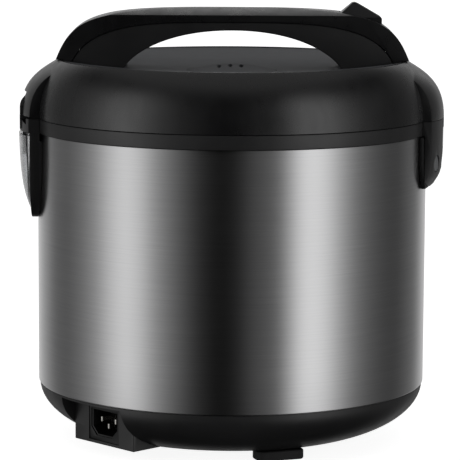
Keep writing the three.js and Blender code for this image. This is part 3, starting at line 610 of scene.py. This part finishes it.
def control_cover():
    cover = facing("control_cover_moulded", panel_profile(0, SEAM), FRONT_HALF, -1)
    room = facing("room", panel_profile(2.2, SEAM - 2.2), FRONT_HALF - 2.2, -1)
    cut(cover, room, sleeve_core(BODY_R + 3.2), collar_core(COLLAR_R + GAP))
    cut(cover, hook_room())
    for _, angle in KEYS:
        cut(cover, at_key(rod("key_hole", Y, 5.8, -95, -70, 0, KEY_Z), angle))
    cut(cover, block("window_hole", -17.3, 17.3, -200, -100, PANEL_LOW + 27.7, PANEL_LOW + 41.3))
    rounded(cover, 0.7, 2, 38)
    dress(cover, "body", "black_plastic", BLACK, "control_cover")
    back, front = ARC_R - 1.8, ARC_R - 0.2
    pane = [(back, PANEL_LOW + 28), (front, PANEL_LOW + 28),
            (front, PANEL_LOW + 41), (back, PANEL_LOW + 41)]
    window = lathe("window_pane", pane, -ARC_C, 240)
    common(window, block("clip", -17, 17, -200, -100, PANEL_LOW + 20, SEAM))
    dress(rounded(window, 0.25, 2), "body", "display", WINDOW, "display_window")
    for name, angle in KEYS:
        out = ARC_R - 0.6
        cap = rod("cap_" + name, Y, 5.5, -out + 0.7, -out + 4.2, 0, KEY_Z)
        rounded(cap, 0.5, 3)
        dish = lathe("dish", [(0, -14), (6, -14), (4.2, 0.0), (0, 0.35)], 0, 48)
        place = Matrix.Translation((0, (-out + 0.7) * MM, KEY_Z * MM))
        dish.data.transform(place @ Matrix.Rotation(math.radians(-90), 4, "X"))
        cut(cap, dish)
        join(cap, rod("flange", Y, 6.7, -out + 3.7, -out + 4.6, 0, KEY_Z))
        dress(smooth(at_key(cap, angle)), name, "lid_grey", KEY, name)


def control_flange():
    top = SLEEVE_TOP - 0.2
    w = FRONT_HALF + 2.8
    z = PANEL_LOW + 1.4
    side = bezier((w, top), (w, top - 22), (w - 1.5, z + 8), (w - 6.5, z), 10)
    shape = side + [(-x, y) for x, y in reversed(side)]
    ring = rod("control_flange_moulded", Z, BODY_R + 2.9, z - 1, top + 1, 0, 0, ROUND)
    cut(ring, sleeve_core(BODY_R + GAP))
    common(ring, prism("shape", shape, Y, -200, -60))
    dress(rounded(ring, 0.8, 2, 38), "body", "dark_plastic", DARK, "control_flange")


def hinge_housing():
    seat = BODY_R + 3.2
    z0 = SLEEVE_TOP - 59.5
    z1 = SLEEVE_TOP + GAP
    r = FACE_Y + 0.5 - ARC_C
    head = facing("hinge_housing_moulded", [(r - 0.5, z1), (r, z1 + 0.5), (r, SEAM)], REAR_HALF, 1)
    cut(head, collar_core(COLLAR_R + GAP))
    w = REAR_HALF
    side = bezier((w, z1 + 0.5), (w, z0 + 26), (w - 1, z0 + 4), (w - 20, z0), 14)
    back = prism("back", side + [(-x, z) for x, z in reversed(side)], Y, 100, seat)
    cut(back, sleeve_core(BODY_R + GAP), collar_core(COLLAR_R + GAP))
    rounded(back, 1.6, 3, 45)
    join(head, back, block("tab", -9, 9, seat + 4.4, seat + 7, z1 - 17, z1 + 1))
    cut(head, *troughs())
    drum_r = 9.2
    drum = rod("drum", X, drum_r, -KNUCKLE, KNUCKLE, PIN_Y, PIN_Z, 72)
    rounded(drum, 0.5, 2)
    foot = block("drum_foot", -KNUCKLE, KNUCKLE, PIN_Y - 6, PIN_Y + drum_r, SEAM - 8, PIN_Z)
    cut(foot, collar_core(COLLAR_R + GAP))
    join(head, drum, foot)
    cut(head, rod("pin_hole", X, PIN_HOLE_R, -40, 40, PIN_Y, PIN_Z, 32),
        block("spring_room", -8, 8, PIN_Y - 20, PIN_Y + 5.2, PIN_Z - 5.2, PIN_Z + 5.2),
        collar_core(COLLAR_R + GAP))
    dress(smooth(head), "body", "black_plastic", BLACK, "hinge_housing")


def cup():
    wall = 1.2
    half = 35
    top = high("condensate_cup", Z)
    z0 = top - 55.5
    back = BODY_R + 3.5

    def profile(inset, upper):
        points = bezier((back + 0.5 - ARC_C, z0), (back + 6 - ARC_C, z0 + 10),
                        (FACE_Y + 0.6 - ARC_C, z0 + 22), (FACE_Y + 1 - ARC_C, top), 22)
        return [(r - inset, upper if z >= top else z + inset * 0.8) for r, z in points]

    outer = facing("cup_clear", profile(0, top), half, 1, 300)
    common(outer, block("behind", -100, 100, back, 200, z0 - 5, top + 5))
    rounded(outer, 1.2, 3, 40)
    room = facing("room", profile(wall, top + 2), half - wall, 1, 300)
    common(room, block("behind", -100, 100, back + wall, 200, z0 - 5, top + 9))
    cut(outer, room)
    dress(smooth(outer), "condensate_cup", "clear_plastic", CLEAR, "condensate_cup")


# ---------------------------------------------------------------- lid
def dome_radius(z):
    rise = (z - LID_LOW) / (RIM_Z - LID_LOW + 3)
    return COLLAR_R - 24.7 + 25 * math.sqrt(max(0, 1 - rise ** 2))


def dome_points(inset, top, count):
    out = []
    for k in range(count + 1):
        z = LID_LOW + (top - LID_LOW) * math.sin(math.pi / 2 * k / count)
        out.append((dome_radius(z) - inset, z))
    return out


def bulge_profile(inset, steps=16):
    face = FACE_Y - ARC_C
    points = bezier((face, LID_LOW), (face, LID_LOW + 23.4), (FACE_Y - 12.4 - ARC_C, LID_LOW + 30.6),
                    (RIM_R - ARC_C, RIM_Z - 0.4), steps)
    return [(r - inset, z if i == 0 else z - inset * 0.75) for i, (r, z) in enumerate(points)]


def panel_top(r):
    return RIM_Z - 8.0 + 7.4 * (r / PANEL_R) ** 2.5


def lid_shell():
    ring = lathe("lid_ring", [(0, LID_LOW)] + dome_points(0, RIM_Z, 22) + [(0, RIM_Z)])
    for half, side in ((FRONT_HALF, -1), (REAR_HALF, 1)):
        bulge = facing("bulge", bulge_profile(0), half, side)
        rounded(bulge, 1.4, 3, 40)
        join(ring, bulge)
    skin = bpy.data.objects.new("skin", ring.data.copy())
    bpy.context.scene.collection.objects.link(skin)
    room_top = RIM_Z - 6.5
    room = lathe("room", [(0, LID_LOW - 1), (dome_radius(LID_LOW) - WALL, LID_LOW - 1)] +
                 dome_points(WALL, room_top, 12) + [(0, room_top)])
    cut(ring, room)
    for half, side in ((FRONT_HALF, -1), (REAR_HALF, 1)):
        cut(ring, facing("bulge_room", bulge_profile(WALL), half - WALL, side))
    ledge_r = RIM_R - 9
    wall_r = RIM_R - 1.9
    seat = lathe("seat", [(0, RIM_Z - 20), (ledge_r, RIM_Z - 20), (ledge_r, RIM_Z - 4),
                          (wall_r, RIM_Z - 3.1), (wall_r, RIM_Z - 0.5), (RIM_R - 1.4, RIM_Z + 1),
                          (0, RIM_Z + 1)])
    under = LID_LOW - 1
    lug_start = KNUCKLE + GAP
    lug_end = lug_start + 4.5
    lift_half = REAR_HALF + 1
    cut(ring, seat,
        block("front_door", -10, 10, -FACE_Y + WALL + 0.6, -100, under, LID_LOW + 1),
        block("rear_door", -30, 30, 100, FACE_Y - WALL - 1.6, under, LID_LOW + 1),
        block("rear_lift", -lift_half, lift_half, COLLAR_R + 1, 200, under, LID_LOW + 1.2),
        block("notch", -lug_start, lug_start, PIN_Y - 2, 200, under, PIN_Z + 10))
    lugs = []
    for a, b in ((-lug_end, -lug_start), (lug_start, lug_end)):
        lug = rod("lug", X, 4.5, a, b, PIN_Y, PIN_Z, 48)
        join(lug, block("lug_arm", a, b, PIN_Y - 4.5, PIN_Y + 3, PIN_Z, LID_LOW + 27))
        lugs.append(lug)
    join(lugs[0], lugs[1])
    join(ring, common(lugs[0], skin))
    pin_end = lug_end + GAP
    cut(ring, rod("pin_hole", X, PIN_HOLE_R, -pin_end, pin_end, PIN_Y, PIN_Z, 32))
    dress(smooth(ring, 30), "lid", "black_plastic", LID_BLACK, "lid_shell")


VENT_R = 30
WELL_Z = panel_top(VENT_R) - 3.2  # floor of the vent's recess


def lid_top():
    steps = 26
    edge = VENT_R + 1
    radii = [edge + (PANEL_R - VENT_R - 1) * k / steps for k in range(steps + 1)]
    top = [(0, WELL_Z), (edge, WELL_Z), (edge, panel_top(edge) - 0.4)]
    top += [(r + (0.4 if k == 0 else 0), panel_top(r)) for k, r in enumerate(radii[:-1])]
    top += arc(PANEL_R - 0.5, panel_top(PANEL_R) - 0.5, 0.5, 90, 0, 3)
    under = [(PANEL_R, RIM_Z - 2.8)] + [(r, panel_top(r) - 2) for r in reversed(radii[:-2])]
    back = WELL_Z - 1.8
    panel = lathe("lid_panel_dished", top + under + [(VENT_R + 3, back), (0, back)])
    stem = STEM_HALF + GAP
    cut(panel, rod("tube_hole", Z, 9.3, RIM_Z - 20, RIM_Z, 0, 0, 48),
        block("stem_hole", -stem, stem, STEM_Y - stem, STEM_Y + stem, RIM_Z - 30, RIM_Z + 5))
    dress(smooth(panel, 30), "lid", "lid_grey", GREY, "lid_panel")


def vent_cap():
    floor = WELL_Z + GAP
    z = panel_top(VENT_R)
    edge = arc(VENT_R + 0.1, z - 0.4, 0.6, 0, 90, 3)
    dome = bezier((VENT_R + 0.1, z + 0.2), (21, z + 0.6), (17, z + 4.4), (0, z + 4.5), 20)
    cap = lathe("vent_cap_domed", [(0, floor), (VENT_R + 0.7, floor)] + edge + dome[1:], 0, 120)
    angles = [math.radians(d) for d in range(0, 360, 15)]
    for x in (-10, 10):
        for k in (-1, 0, 1):
            y = k * 7.6 + 1.5
            oval = [(x + 5 * math.cos(a), y + 1.5 * math.sin(a)) for a in angles]
            cut(cap, prism("slot", oval, Z, floor + 1.2, z + 10))
    cut(cap, rod("under", Z, 17, floor - 1, floor + 2, 0, 0, 64))
    dress(smooth(cap, 30), "vent_cap", "lid_grey", GREY, "vent_cap")


# ---------------------------------------------------------------- handle
# Each curve runs from the crown to one foot of the handle: s is the side, -1 or 1.
def handle_outer(s):
    return bezier((0, HANDLE_TOP), (s * RIM_R * 0.823, HANDLE_TOP),
                  (s * (RIM_R * 0.911), HANDLE_TOP - 7.5), (s * (RIM_R + 0.6), RIM_Z), 36)


def handle_split(s, d):
    """The seam between the handle's halves, lowered by d."""
    t = HANDLE_TOP - 9.3
    return bezier((0, t - d), (s * RIM_R * 0.451, t - d),
                  (s * (RIM_R - 23 - d), t + 0.4 - d), (s * (RIM_R - 10 - d), RIM_Z - 2), 30)


def handle_inner(s):
    t = HANDLE_TOP - 15.3
    return bezier((0, t), (s * 47.3, t), (s * 71.7, RIM_Z + 2.8), (s * 76, RIM_Z - 8), 30)


def outline(upper, lower):
    return upper(-1)[::-1] + upper(1)[1:] + lower(1)[::-1] + lower(-1)[1:]


def panel_room():
    """What lies under the handle: the lid's rim, and the panel with a clearance."""
    edge = VENT_R + 1
    out_r, low_z, rim = RIM_R + 30, RIM_Z - 30, RIM_Z + GAP
    radii = [PANEL_R * k / 24 for k in range(25)]
    top = [(r, panel_top(max(r, edge)) + GAP) for r in reversed(radii[1:])]
    return lathe("panel_room", [(0, low_z), (out_r, low_z), (out_r, rim), (PANEL_R, rim)] +
                 top + [(0, panel_top(edge) + GAP)])


BUTTON_HALF = 11
BUTTON_Y = (-102.8, -74.4)
STEM_Y = -94.5
STEM_HALF = 3.6


def button_room():
    half = BUTTON_HALF + GAP
    return block("button_room", -half, half, BUTTON_Y[0] - GAP, BUTTON_Y[1] + GAP,
                 HANDLE_TOP - 19, HANDLE_TOP + 20)


def stem_room():
    half = STEM_HALF + GAP
    return join(block("stem_room", -half, half, STEM_Y - half, STEM_Y + half,
                      RIM_Z - 30, HANDLE_TOP - 5),
                rod("spring_pocket", Z, 7.5, HANDLE_TOP - 27, HANDLE_TOP - 18, 0, STEM_Y, 40))


def handle():
    band = outline(handle_outer, lambda s: handle_split(s, 0))
    upper = prism("handle_band", band, X, -HANDLE_HALF, HANDLE_HALF)
    reach = HANDLE_HALF + 1
    crown_r = 40
    bow = [(reach * k / 16, HANDLE_TOP - (reach * k / 16) ** 2 / (2 * crown_r))
           for k in range(-16, 17)]
    crown = bow + [(reach, RIM_Z - 30), (-reach, RIM_Z - 30)]
    common(upper, prism("crown", crown, Y, -RIM_R - 5, RIM_R + 5))
    rounded(upper, 2.6, 4, 50)
    cut(upper, panel_room(), button_room(), stem_room())
    dress(smooth(upper, 30), "lid", "black_plastic", LID_BLACK, "handle_upper")
    half = HANDLE_HALF - 1.2
    grip = outline(lambda s: handle_split(s, 0.12), handle_inner)
    lower = prism("handle_grip", grip, X, -half, half)
    rounded(lower, 1.8, 4, 50)
    cut(lower, panel_room(), button_room(), stem_room())
    dress(smooth(lower, 30), "lid", "dark_plastic", BLACK, "handle_lower")


def release_button():
    z = HANDLE_TOP
    y0, y1 = BUTTON_Y
    side = [(y1, z - 3.6), (-82.6, z + 3.6), (-84.4, z + 3.9), (-86.4, z + 3.2), (y0 + 0.8, z - 5.8),
            (y0, z - 7.0), (y0, z - 14), (y1, z - 14)]
    wedge = prism("button_wedge", side, X, -BUTTON_HALF, BUTTON_HALF)
    out, inside = BUTTON_HALF + 0.5, BUTTON_HALF - 5.5
    for s in (-1, 1):
        corner = [(s * out, z - 7.2), (s * out, z + 8), (s * inside, z + 8), (s * inside, z + 3.0)]
        cut(wedge, prism("chamfer", corner, Y, -120, -60))
    rounded(wedge, 0.7, 3, 20)
    join(wedge, block("stem", -STEM_HALF, STEM_HALF, STEM_Y - STEM_HALF, STEM_Y + STEM_HALF,
                      low("release_button", Z), z - 13))
    dress(smooth(wedge, 30), "release_button", "gloss_black", GLOSS, "release_button")


# ---------------------------------------------------------------- pot
def pot():
    r, wall = high("inner_pot", X) - 7.8, 1.8
    bottom, top = low("inner_pot", Z), high("inner_pot", Z)
    rim = top - wall
    outer = arc(r - 12, bottom + 12, 12, -90, 0, 10)
    inner = arc(r - 12, bottom + 12, 12 - wall, -90, 0, 10)
    lip_r = high("inner_pot", X)
    lip = [(r, rim), (lip_r - 0.9, rim)] + arc(lip_r - 0.9, rim + 0.9, 0.9, -90, 90, 6)[1:]
    profile = [(0, bottom)] + outer + lip + [(r - wall, top)] + inner[::-1] + [(0, bottom + wall)]
    dress(smooth(lathe("pot_coated", profile), 35), "inner_pot", "pot_coating", COATING, "inner_pot")


# ---------------------------------------------------------------- stage
def floor_material():
    """A plain pale floor that only the camera sees; the metal mirrors the room instead."""
    material = bpy.data.materials.new("stage_floor")
    material.use_nodes = True
    tree = material.node_tree
    tree.nodes.clear()
    out = tree.nodes.new("ShaderNodeOutputMaterial")
    matt = tree.nodes.new("ShaderNodeBsdfDiffuse")
    matt.inputs[0].default_value = (0.9, 0.9, 0.9, 1)
    glow = tree.nodes.new("ShaderNodeEmission")
    glow.inputs[1].default_value = 0.9
    both = tree.nodes.new("ShaderNodeAddShader")
    unseen = tree.nodes.new("ShaderNodeBsdfTransparent")
    path = tree.nodes.new("ShaderNodeLightPath")
    mix = tree.nodes.new("ShaderNodeMixShader")
    tree.links.new(matt.outputs[0], both.inputs[0])
    tree.links.new(glow.outputs[0], both.inputs[1])
    tree.links.new(path.outputs["Is Camera Ray"], mix.inputs[0])
    tree.links.new(unseen.outputs[0], mix.inputs[1])
    tree.links.new(both.outputs[0], mix.inputs[2])
    tree.links.new(mix.outputs[0], out.inputs[0])
    return material


# The room's brightness by azimuth, in degrees from -X towards -Y. It sets where the
# steel's bright and dark bands fall.
ROOM = (
    (-180, 0.9), (-166, 0.8), (-150, 0.5), (-128, 0.16), (-112, 0.14), (-98, 0.26), (-86, 0.48),
    (-76, 0.95), (-65, 1.3), (-55, 1.02), (-46, 0.5), (-37, 0.27), (-28, 0.12), (-20, 0.035),
    (-10, 0.001), (-2, 0.0), (5, 0.02), (13, 0.1), (22, 0.14), (28, 0.18), (34, 0.6), (42, 1.42),
    (50, 1.5), (58, 1.2), (67, 0.66), (77, 0.3), (88, 0.16), (101, 0.09), (115, 0.07), (140, 0.2),
    (160, 0.65), (180, 0.9),
)


def room():
    """A studio of tall, soft, graded panels round the object, dim overhead."""
    world = bpy.data.worlds.new("world")
    bpy.context.scene.world = world
    world.use_nodes = True
    tree = world.node_tree
    sky = tree.nodes["Background"]
    coords = tree.nodes.new("ShaderNodeTexCoord")
    split = tree.nodes.new("ShaderNodeSeparateXYZ")
    tree.links.new(coords.outputs["Generated"], split.inputs[0])

    def step(operation, *values):
        node = tree.nodes.new("ShaderNodeMath")
        node.operation = operation
        for socket, value in zip(node.inputs, values):
            if isinstance(value, (int, float)):
                socket.default_value = value
            else:
                tree.links.new(value, socket)
        return node.outputs[0]

    def span(value, lo, hi):
        node = tree.nodes.new("ShaderNodeMapRange")
        node.interpolation_type = "SMOOTHSTEP"
        node.inputs["From Min"].default_value = lo
        node.inputs["From Max"].default_value = hi
        tree.links.new(value, node.inputs["Value"])
        return node.outputs[0]

    x, y, z = split.outputs
    azimuth = step("ARCTAN2", step("MULTIPLY", y, -1.0), step("MULTIPLY", x, -1.0))
    place = step("MULTIPLY_ADD", azimuth, 0.5 / math.pi, 0.5)
    ramp = tree.nodes.new("ShaderNodeValToRGB")
    points = ramp.color_ramp.elements
    points.remove(points[0])
    for k, (angle, value) in enumerate(ROOM):
        share = (angle + 180) / 360
        point = points[0] if k == 0 else points.new(share)
        point.position = share
        point.color = (value / 3, value / 3, value / 3, 1)
    tree.links.new(place, ramp.inputs[0])
    side = step("MULTIPLY", span(z, -0.72, -0.34), span(z, 0.75, 0.35))
    panels = step("MULTIPLY", step("MULTIPLY", ramp.outputs[0], 3.0), side)
    overhead = step("MULTIPLY", span(z, 0.55, 0.9), 0.3)
    tree.links.new(step("ADD", panels, overhead), sky.inputs[1])
    sky.inputs[0].default_value = (1, 1, 1, 1)


def stage():
    bpy.context.scene.view_settings.view_transform = "Standard"
    reach = 6000
    floor = block("floor", -reach, reach, -reach, reach, -20, 0)
    floor.data.materials.append(floor_material())
    room()


camera()
stage()
paint_cad()
sleeve()
collar()
base()
inlet()
feet()
control_flange()
control_cover()
hinge_housing()
cup()
lid_shell()
lid_top()
vent_cap()
handle()
release_button()
pot()
